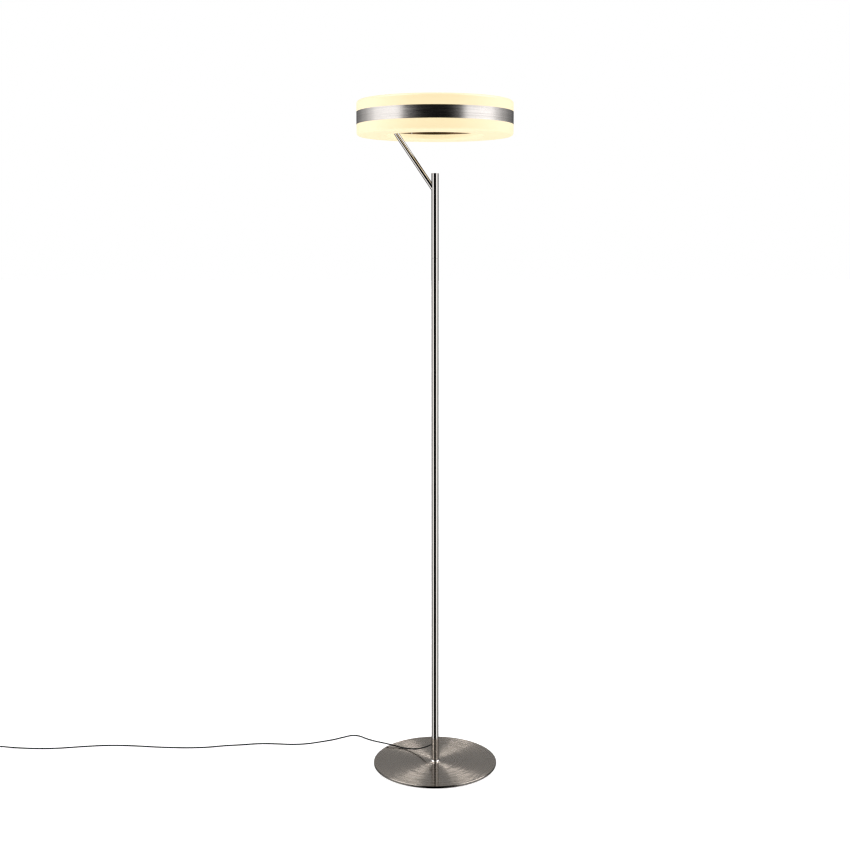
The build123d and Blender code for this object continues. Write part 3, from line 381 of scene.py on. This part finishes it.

# ---------------------------------------------------------------- ring: frosted covers
# Two channels of opal acrylic close the ring above and below the belt.  They scatter the
# diodes' light, so the whole cover glows warm white, stronger beside the belt.  Where the eye
# meets it at a grazing angle its glow is made paler, which is a painted sheen.
RING_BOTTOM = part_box("lower_diffuser")[0][2]
RING_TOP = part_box("upper_diffuser")[1][2]
RING_MIDDLE = (RING_TOP + RING_BOTTOM) / 2
HALF_RING = (RING_TOP - RING_BOTTOM) / 2
BELT_SHARE = 0.35
opal, tree, shader, place = finish(
    "opal_acrylic", (0.24, 0.215, 0.175, 1), 0.34, Emission_Strength=1.0, IOR=1.49
)
apart = put(tree, "ShaderNodeSeparateXYZ", None, Vector=place)
level = maths(tree, "SUBTRACT", apart.outputs["Z"], RING_MIDDLE)
edge = maths(tree, "ABSOLUTE", level)
near_belt = fade(tree, edge, HALF_RING, HALF_RING * BELT_SHARE)
haze = noise(tree, place, 16.0, 2.0)
mottled = maths(tree, "MULTIPLY_ADD", haze, 0.25, near_belt)
head_on = tones(tree, mottled, (0.77, 0.63, 0.35, 1), (0.80, 0.665, 0.375, 1))
# painted sheen: the glow turns paler where the surface turns away from the eye
painted_glancing_sheen = fade(tree, facing_away(tree), 0.0, 0.55)
tree.links.new(tones(tree, painted_glancing_sheen, head_on, (0.86, 0.72, 0.455, 1)), shader.inputs["Emission Color"])
frost = noise(tree, place, 1800.0, 3.0)
dull(tree, shader, frost, 0.26, 0.40)
relief(tree, shader, frost, 0.00001, 0.4)
dress(opal, "upper_diffuser", "lower_diffuser")

# ---------------------------------------------------------------- rubber parts
# Soft black mouldings: the grommet at the arm's head, the relief where the cord leaves the
# pole, and the bushes at the switch and the adapter.
grain, grain_in, grain_out = effect(
    "moulded_grain",
    [("Vector", "NodeSocketVector", None), ("Fineness", "NodeSocketFloat", 1800.0)],
    [("Height", "NodeSocketFloat"), ("Shine", "NodeSocketFloat")],
)
point, fineness = grain_in.outputs["Vector"], grain_in.outputs["Fineness"]
pits = put(grain, "ShaderNodeTexVoronoi", {"feature": "SMOOTH_F1"}, Vector=point, Scale=fineness)
half = maths(grain, "MULTIPLY", grain_in.outputs["Fineness"], 0.35)
swell = noise(grain, grain_in.outputs["Vector"], half, 3.0)
grain_height = maths(grain, "MULTIPLY_ADD", pits.outputs["Distance"], 0.6, swell)
grain.links.new(grain_height, grain_out.inputs["Height"])
grain.links.new(swell, grain_out.inputs["Shine"])

rubber, tree, shader, place = finish("black_rubber", (0.018, 0.018, 0.018, 1), 0.62)
moulded = use(tree, grain, Vector=place, Fineness=1500.0)
bloom = use(tree, handling, Vector=place, Size=60.0)
paint(tree, shader, bloom.outputs["Mask"], (0.014, 0.014, 0.014, 1), (0.034, 0.033, 0.032, 1))
dull(tree, shader, moulded.outputs["Shine"], 0.50, 0.74)
relief(tree, shader, moulded.outputs["Height"], 0.00004, 0.6)
dress(rubber, "arm_grommet", "cord_relief", "switch_bush_near", "switch_bush_far", "adapter_relief")

# ---------------------------------------------------------------- cord from pole to switch
# A thin round lead in black vinyl leaves the back of the pole through the relief, comes down
# on the plate, rides over its rim and lies on the floor in easy bends up to the switch.
CORD = 0.0036
sheath, tree, shader, place = finish("vinyl_sheath", (0.006, 0.006, 0.006, 1), 0.6, Specular_IOR_Level=0.08)
drawing = noise(tree, place, 500.0, 3.0)
scuffs = use(tree, handling, Vector=place, Size=30.0)
paint(tree, shader, scuffs.outputs["Mask"], (0.004, 0.004, 0.004, 1), (0.011, 0.0105, 0.010, 1))
dull(tree, shader, drawing, 0.42, 0.60)
relief(tree, shader, drawing, 0.00005, 0.5)
dress(sheath, "inner_cable")

FLOOR_LEVEL = 0.002


def lead(name, points):
    """One open spline of order 3 whose control points are the route's, in metres, with a
    round section of the cord's diameter."""
    data = bpy.data.curves.new(name, "CURVE")
    data.dimensions = "3D"
    data.resolution_u = 8
    data.bevel_depth = CORD / 2
    data.bevel_resolution = 5
    data.use_fill_caps = True
    spline = data.splines.new("NURBS")
    spline.points.add(len(points) - 1)
    for control, (x, y, z) in zip(spline.points, points):
        control.co = (x, y, z, 1)
    spline.order_u = 3
    spline.use_endpoint_u = True
    data.materials.append(sheath)
    piece = bpy.data.objects.new(name, data)
    bpy.context.scene.collection.objects.link(piece)
    return piece


long_lead = lead(
    "long_lead",
    [
        (-0.00273, 0.00436, 0.05381),
        (-0.0129, 0.0207, 0.0422),
        (-0.032, 0.045, 0.025),
        (-0.053, 0.057, 0.0162),
        (-0.0785, 0.074, 0.0102),
        (-0.105, 0.089, 0.0103),
        (-0.1315, 0.0965, 0.0146),
        (-0.155, 0.1235, 0.0084),
        (-0.177, 0.15, 0.0023),
        (-0.199, 0.167, FLOOR_LEVEL),
        (-0.2185, 0.187, FLOOR_LEVEL),
        (-0.2395, 0.1915, FLOOR_LEVEL),
        (-0.263, 0.1765, FLOOR_LEVEL),
        (-0.2915, 0.1575, FLOOR_LEVEL),
        (-0.324, 0.1435, FLOOR_LEVEL),
        (-0.3625, 0.128, FLOOR_LEVEL),
        (-0.406, 0.1225, FLOOR_LEVEL),
        (-0.4525, 0.129, FLOOR_LEVEL),
        (-0.5005, 0.1305, FLOOR_LEVEL),
        (-0.547, 0.121, FLOOR_LEVEL),
        (-0.5945, 0.1155, FLOOR_LEVEL),
        (-0.6415, 0.1035, FLOOR_LEVEL),
        (-0.691, 0.0995, FLOOR_LEVEL),
        (-0.743, 0.1015, FLOOR_LEVEL),
        (-0.7945, 0.106, FLOOR_LEVEL),
        (-0.846, 0.1135, FLOOR_LEVEL),
        (-0.899, 0.118, FLOOR_LEVEL),
        (-0.951, 0.1155, FLOOR_LEVEL),
        (-1.003, 0.1075, FLOOR_LEVEL),
        (-1.054, 0.0975, FLOOR_LEVEL),
        (-1.103, 0.0935, FLOOR_LEVEL),
        (-1.1495, 0.0965, FLOOR_LEVEL),
        (-1.189, 0.1008, 0.0022),
        (-1.2175, 0.1004, 0.0052),
        (-1.2415, 0.1, 0.0065),
        (-1.255, 0.1, 0.0065),
    ],
)
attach(long_lead, "lamp")
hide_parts("cord")

# ---------------------------------------------------------------- cord from switch to adapter
# The same lead goes on from the switch's far bush.  Its spare length is wound into a small
# flat coil, two and a quarter turns laid beside and on each other, and its end runs into the adapter.
COIL_X = -1.389
COIL_Y = 0.104
COIL_TURNS = 2.25
POINTS_PER_TURN = 16
OUTER_TURN = 0.0239
STEP_IN = 0.0040
STEP_OUT = 0.0019
STEP_IN_FROM = 0.70
CLIMB_FROM = 1.72
COIL_LEVEL = 0.0028


def coil_turns():
    """Points of the coil, clockwise from its front.  The first turn lies outside, the second
    inside it, and the last quarter climbs on both: the radius and height each step softly from
    one turn's value to the next."""
    turn = np.arange(1, COIL_TURNS * POINTS_PER_TURN) / POINTS_PER_TURN
    inward = np.clip((turn - STEP_IN_FROM) / (1 - STEP_IN_FROM), 0, 1)
    climb = np.clip((turn - CLIMB_FROM) / (2 - CLIMB_FROM), 0, 1)
    inward = inward**2 * (3 - 2 * inward)
    climb = climb**2 * (3 - 2 * climb)
    reach = OUTER_TURN - STEP_IN * inward + STEP_OUT * climb
    height = COIL_LEVEL + CORD * climb
    angle = -math.pi / 2 - 2 * math.pi * turn
    x = COIL_X + reach * np.cos(angle)
    y = COIL_Y + reach * np.sin(angle)
    return np.column_stack([x, y, height]).tolist()


short_lead = lead(
    "short_lead",
    [
        (-1.315, 0.1, 0.0065),
        (-1.3315, 0.1002, 0.0061),
        (-1.349, 0.0955, 0.0034),
        (-1.366, 0.0845, 0.0028),
        (-1.3805, 0.0803, 0.0028),
        *coil_turns(),
        (-1.4109, 0.1045, 0.0064),
        (-1.4112, 0.1145, 0.0064),
        (-1.4115, 0.1245, 0.0048),
        (-1.4105, 0.1355, 0.0026),
        (-1.407, 0.149, 0.0026),
        (-1.4, 0.161, 0.0046),
        (-1.384, 0.1712, 0.0076),
        (-1.355, 0.172, 0.008),
    ],
)
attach(short_lead, "lamp")
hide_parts("cord_tail", "cord_coil", "cord_end")

# ---------------------------------------------------------------- switch on the cord
# A low two-part case in black plastic with a fine moulded grain, and a smooth round button
# in its middle that is pushed down against a spring.
case, tree, shader, place = finish("moulded_case", (0.022, 0.022, 0.024, 1), 0.5)
texture = use(tree, grain, Vector=place, Fineness=1300.0)
rubbed = use(tree, handling, Vector=place, Size=45.0)
paint(tree, shader, rubbed.outputs["Mask"], (0.020, 0.020, 0.022, 1), (0.027, 0.027, 0.029, 1))
dull(tree, shader, texture.outputs["Shine"], 0.40, 0.62)
relief(tree, shader, texture.outputs["Height"], 0.00006, 0.7)
dress(case, "switch_base", "switch_cover", "adapter_back", "adapter_front")

smooth, tree, shader, place = finish("smooth_button", (0.03, 0.03, 0.033, 1), 0.2, Coat_Weight=0.2)
thumb = use(tree, handling, Vector=place, Size=40.0)
paint(tree, shader, thumb.outputs["Mask"], (0.030, 0.030, 0.033, 1), (0.036, 0.036, 0.039, 1))
dull(tree, shader, thumb.outputs["Mask"], 0.20, 0.27)
dress(smooth, "switch_button")

green_board, tree, shader, place = finish("green_solder_mask", (0.03, 0.18, 0.08, 1), 0.35)
copper = put(tree, "ShaderNodeTexVoronoi", {"distance": "MANHATTAN"}, Vector=place, Scale=260.0)
paint(tree, shader, copper.outputs["Distance"], (0.02, 0.14, 0.06, 1), (0.07, 0.30, 0.13, 1))
relief(tree, shader, copper.outputs["Distance"], 0.00003)
dress(green_board, "switch_board", "adapter_board")

# ---------------------------------------------------------------- switch spring
# Four turns of thin steel wire under the button, rising from the board to the button's flange.
spring_wire, tree, shader, place = finish("spring_wire", (0.60, 0.60, 0.60, 1), 0.3, 1.0)
drawn_wire = noise(tree, place, 2500.0, 2.0)
dull(tree, shader, drawn_wire, 0.2, 0.45)


def skin(name, loops, closed, material):
    """A smooth mesh through loops of points, given as an array of loop, point and x, y, z.  Each
    loop is joined to the next, and the last to the first if closed, or else both ends are capped."""
    loop_count, points = loops.shape[:2]
    faces = []
    for loop in range(loop_count if closed else loop_count - 1):
        here = loop * points
        after = (loop + 1) % loop_count * points
        for point in range(points):
            beside = (point + 1) % points
            faces.append((here + point, here + beside, after + beside, after + point))
    if not closed:
        faces.append(tuple(reversed(range(points))))
        faces.append(tuple(range((loop_count - 1) * points, loop_count * points)))
    data = bpy.data.meshes.new(name)
    data.from_pydata(loops.reshape(-1, 3).tolist(), [], faces)
    data.polygons.foreach_set("use_smooth", [True] * len(faces))
    data.materials.append(material)
    piece = bpy.data.objects.new(name, data)
    bpy.context.scene.collection.objects.link(piece)
    return piece


SPRING_LOW, SPRING_HIGH = (np.array(corner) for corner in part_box("switch_spring"))
SPRING_WIRE = 0.0007
SPRING_COILS = 4
SPRING_STEPS = 129


def spring_turns():
    """Loops round the spring's wire: circles that follow four turns of a helix, which rises from
    the board to the button's flange."""
    middle = (SPRING_LOW + SPRING_HIGH) / 2
    part = np.linspace(0, 1, SPRING_STEPS)[:, None, None]
    angle = 2 * math.pi * SPRING_COILS * part
    outward = np.concatenate([np.cos(angle), np.sin(angle), 0 * part], axis=-1)
    upward = np.array([0, 0, 1])
    section = np.linspace(0, 2 * math.pi, 10, endpoint=False)[None, :, None]
    reach = middle[0] - SPRING_LOW[0] - SPRING_WIRE / 2
    rise = SPRING_HIGH[2] - SPRING_LOW[2] - SPRING_WIRE
    foot = np.array([middle[0], middle[1], SPRING_LOW[2] + SPRING_WIRE / 2])
    centre = foot + outward * reach + upward * rise * part
    return centre + (outward * np.cos(section) - upward * np.sin(section)) * SPRING_WIRE / 2


spring = skin("spring", spring_turns(), False, spring_wire)
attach(spring, "lamp")
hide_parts("switch_spring")
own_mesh(spring)

# ---------------------------------------------------------------- plug-in adapter
# A block adapter in two glued halves.  Its flat blades are nickel plated brass, and the
# supply board inside carries a wound transformer and two capacitors.
nickel, tree, shader, place = finish("nickel_plate", (0.70, 0.66, 0.58, 1), 0.22, 1.0)
blade_lines = drawn_out(tree, place, (2200.0, 2200.0, 60.0))
pressed = use(tree, fine_lines, Vector=blade_lines, Coarse=0.3)
paint(tree, shader, pressed.outputs["Bands"], (0.64, 0.60, 0.52, 1), (0.76, 0.72, 0.65, 1))
dull(tree, shader, pressed.outputs["Lines"], 0.16, 0.34)
dress(nickel, "adapter_blades")

wound, tree, shader, place = finish("supply_components", (0.08, 0.08, 0.07, 1), 0.5)
tape = put(tree, "ShaderNodeTexWave", {"bands_direction": "Z"}, Vector=place, Scale=160.0, Distortion=1.0)
paint(tree, shader, tape.outputs["Fac"], (0.05, 0.05, 0.045, 1), (0.16, 0.13, 0.05, 1))
relief(tree, shader, tape.outputs["Fac"], 0.00008)
dress(wound, "adapter_components")

# ---------------------------------------------------------------- tie round the coil
# A strip of soft vinyl over a wire goes once round the coil's strands, and its two ends are
# twisted together in front.
vinyl, tree, shader, place = finish("tie_vinyl", (0.03, 0.03, 0.03, 1), 0.45)
crinkle = noise(tree, place, 700.0, 2.0)
relief(tree, shader, crinkle, 0.0001)
dull(tree, shader, crinkle, 0.36, 0.6)

TIE_LOW, TIE_HIGH = (np.array(corner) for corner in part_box("cord_tie"))
TIE_MIDDLE = (TIE_LOW + TIE_HIGH) / 2
TIE_RIDGE = 0.0004
TIE_END_LENGTH = 0.013
TIE_END_HALF_WIDTH = 0.0013
TIE_END_HALF_THICKNESS = 0.0003
TIE_END_TWISTS = 2.5
TIE_END_REACH = 0.0008
TIE_END_NARROWING = 0.0002


def tie_loop():
    """Loops across the strip, all the way round the coil.  Each has its half width times the
    cosine along the cord, and a thickness that is the sine times its own size, so the edges are
    thin and the wire makes a ridge.  The way round is a squared ellipse of power a half."""
    half = (TIE_HIGH - TIE_LOW) / 2
    turn = np.linspace(0, 2 * math.pi, 72, endpoint=False)[:, None]
    section = np.linspace(0, 2 * math.pi, 20, endpoint=False)[None, :]
    ridge = TIE_RIDGE * np.sin(section) * np.abs(np.sin(section))
    cosine, sine = np.cos(turn), np.sin(turn)
    y = (half[1] - TIE_RIDGE + ridge) * np.sign(cosine) * np.sqrt(np.abs(cosine))
    z = (half[2] - TIE_RIDGE + ridge) * np.sign(sine) * np.sqrt(np.abs(sine))
    x = half[0] * np.cos(section) + 0 * turn
    return TIE_MIDDLE + np.stack([x, y, z], axis=-1)


def tie_end(start_angle):
    """Loops of one twisted end: a flat oval that winds two and a half times round a line which
    leaves the loop's front, at a radius that narrows a little, with its flat side to the line."""
    along = np.array([0.30, -0.92, 0.25])
    along /= np.linalg.norm(along)
    beside = np.cross(along, (0, 0, 1))
    beside /= np.linalg.norm(beside)
    above = np.cross(beside, along)
    start = np.array([TIE_MIDDLE[0], TIE_LOW[1] + TIE_RIDGE, TIE_MIDDLE[2] + TIE_END_REACH])
    part = np.linspace(0, 1, 48)[:, None, None]
    angle = start_angle + 2 * math.pi * TIE_END_TWISTS * part
    outward = np.cos(angle) * beside + np.sin(angle) * above
    sideways = -np.sin(angle) * beside + np.cos(angle) * above
    section = np.linspace(0, 2 * math.pi, 12, endpoint=False)[None, :, None]
    reach = TIE_END_REACH - TIE_END_NARROWING * part
    centre = start + along * TIE_END_LENGTH * part + outward * reach
    width = sideways * TIE_END_HALF_WIDTH * np.cos(section)
    return centre + width + outward * TIE_END_HALF_THICKNESS * np.sin(section)


twist_tie = skin("twist_tie", tie_loop(), True, vinyl)
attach(twist_tie, "lamp")
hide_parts("cord_tie")
for side, start_angle in (("near", 0.0), ("far", math.pi)):
    end = skin("twist_tie_end_" + side, tie_end(start_angle), False, vinyl)
    end.parent = twist_tie

# ---------------------------------------------------------------- floor
# A plain pale floor, matt, that keeps only a trace of shadow.
FLOOR_REACH = 40.0
floor_data = bpy.data.meshes.new("floor")
corners = [(x * FLOOR_REACH, y * FLOOR_REACH, 0) for x, y in ((-1, -1), (1, -1), (1, 1), (-1, 1))]
floor_data.from_pydata(corners, [], [(0, 1, 2, 3)])
floor = bpy.data.objects.new("floor", floor_data)
bpy.context.scene.collection.objects.link(floor)
pale_glow = {"Emission_Color": (1, 1, 1, 1), "Emission_Strength": 0.62}
floor_data.materials.append(finish("pale_floor", (0.62, 0.62, 0.62, 1), 0.9, **pale_glow)[0])
floor.visible_glossy = False

# ---------------------------------------------------------------- studio light
# Soft light from all round with one tall bright panel each side, a dark gap in front and a
# dim one behind, so that every tube and band shows light and dark stripes.  Two round lamps
# hang higher, one each side, and make the wedges on the base plate.
LIGHT_TURN = 3
world = bpy.data.worlds.new("studio")
bpy.context.scene.world = world
world.use_nodes = True
tree = world.node_tree
sky = tree.nodes["Background"]
direction = put(tree, "ShaderNodeTexCoord").outputs["Generated"]
apart = put(tree, "ShaderNodeSeparateXYZ", None, Vector=direction)
back_to_front = maths(tree, "MULTIPLY", apart.outputs["Y"], -1.0)
turn = maths(tree, "ARCTAN2", apart.outputs["X"], back_to_front)
centred = maths(tree, "ADD", turn, math.radians(LIGHT_TURN))
aside = maths(tree, "ABSOLUTE", centred)
share = maths(tree, "DIVIDE", aside, math.pi)


def brightness(stops):
    """Light by the turn away from the front, in degrees, at one height."""
    ramp = tree.nodes.new("ShaderNodeValToRGB")
    tree.links.new(share, ramp.inputs["Fac"])
    ramp.color_ramp.interpolation = "EASE"
    while len(ramp.color_ramp.elements) < len(stops):
        ramp.color_ramp.elements.new(0.5)
    for element, (degrees, light) in zip(ramp.color_ramp.elements, stops):
        element.position = degrees / 180
        element.color = (light, light, light, 1)
    return ramp.outputs["Color"]


low = brightness([
    (0, 0.0), (23, 0.0), (38, 0.08), (54, 1.0), (90, 1.0),
    (106, 0.60), (120, 0.34), (142, 0.16), (165, 0.07), (180, 0.05),
])
high = brightness([(0, 0.02), (30, 0.03), (60, 0.35), (95, 0.45), (130, 0.22), (160, 0.12), (180, 0.12)])
height = fade(tree, apart.outputs["Z"], 0.10, 0.36)
walls = tones(tree, height, low, high)
overhead = fade(tree, apart.outputs["Z"], 0.80, 0.98)
studio_light = tones(tree, overhead, walls, (0.06, 0.06, 0.06, 1))


def soft_panel(light, degrees_aside, degrees_up, radius, strength):
    """Adds one round lamp with a soft edge, in the direction given by its turn from the front
    and its height, both in degrees."""
    aside = math.radians(degrees_aside)
    up = math.radians(degrees_up)
    towards = (math.sin(aside) * math.cos(up), -math.cos(aside) * math.cos(up), math.sin(up))
    nearness = put(tree, "ShaderNodeVectorMath", {"operation": "DOT_PRODUCT"}, _0=direction, _1=towards)
    edge, core = math.cos(math.radians(radius)), math.cos(math.radians(radius / 2))
    inside = fade(tree, nearness.outputs["Value"], edge, core)
    return tones(tree, inside, light, (strength, strength, strength, 1))


studio_light = soft_panel(studio_light, degrees_aside=-80, degrees_up=52, radius=26, strength=3.4)
studio_light = soft_panel(studio_light, degrees_aside=95, degrees_up=47, radius=26, strength=3.6)
tree.links.new(studio_light, sky.inputs["Color"])
sky.inputs["Strength"].default_value = 1.5
white = put(tree, "ShaderNodeBackground", None, Color=(1, 1, 1, 1), Strength=1.0)
looking = put(tree, "ShaderNodeLightPath").outputs["Is Camera Ray"]
either = put(tree, "ShaderNodeMixShader", None, Fac=looking)
tree.links.new(sky.outputs[0], either.inputs[1])
tree.links.new(white.outputs[0], either.inputs[2])
tree.links.new(either.outputs[0], tree.nodes["World Output"].inputs["Surface"])

scene = bpy.context.scene
scene.view_settings.view_transform = "Standard"
scene.cycles.filter_width = 1.3

# ---------------------------------------------------------------- camera
# At shoulder height, turned a little down at the lamp.
camera_data = bpy.data.cameras.new("camera")
camera_data.sensor_width = 36
camera_data.lens = 53.64
camera_data.shift_x = -0.0118
camera_data.shift_y = -0.0625
camera = bpy.data.objects.new("camera", camera_data)
scene.collection.objects.link(camera)
camera.location = (0, -3.340, 1.429)
camera.rotation_euler = (math.radians(84), 0, 0)
scene.camera = camera
